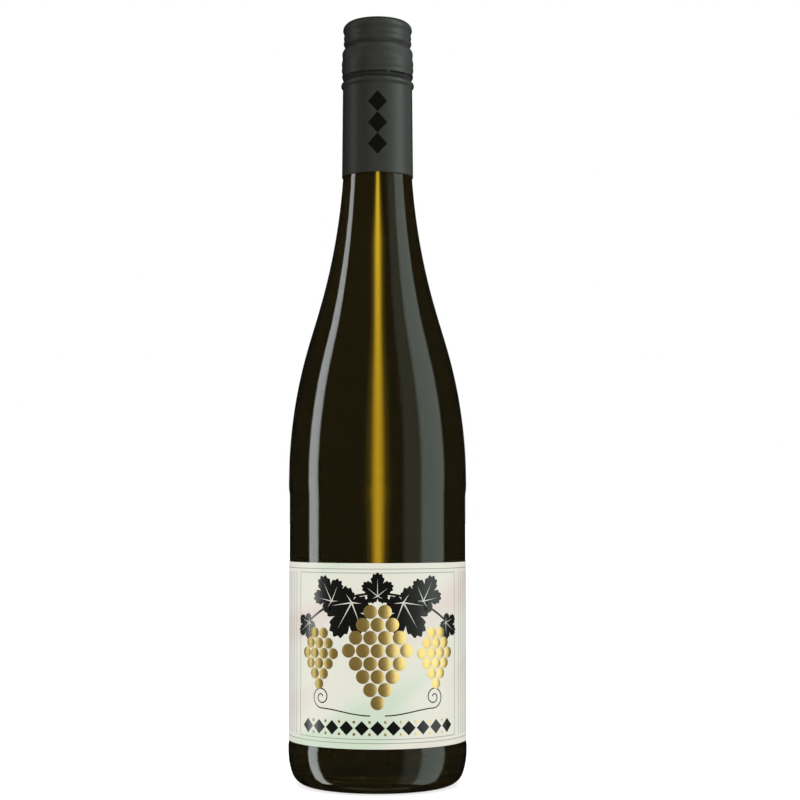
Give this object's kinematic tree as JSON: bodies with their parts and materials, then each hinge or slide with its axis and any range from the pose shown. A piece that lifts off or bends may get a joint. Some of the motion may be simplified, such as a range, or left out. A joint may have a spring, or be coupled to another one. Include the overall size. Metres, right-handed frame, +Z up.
{
  "type": "wine bottle",
  "caption": "Full, unopened glass wine bottle, tall with sloping shoulders, with a long rolled-on screw cap and a paper label wrapped round its body.",
  "frame": {"origin": "middle of the base, on the surface the bottle stands on", "axes": "+Z up along the bottle's axis, -Y out of the middle of the label"},
  "size_m": [0.0764, 0.0764, 0.33],
  "materials": {
    "bottle_glass": "dark olive-brown bottle glass, polished",
    "wine": "clear golden wine",
    "cap_paint": "anthracite paint, matte",
    "label_paper": "off-white paper with a faint pearl tint"
  },
  "bodies": {
    "root": {"glass_bottle": "bottle_glass", "wine": "wine", "screw_cap": "cap_paint", "label": "label_paper"}
  },
  "joints": []
}
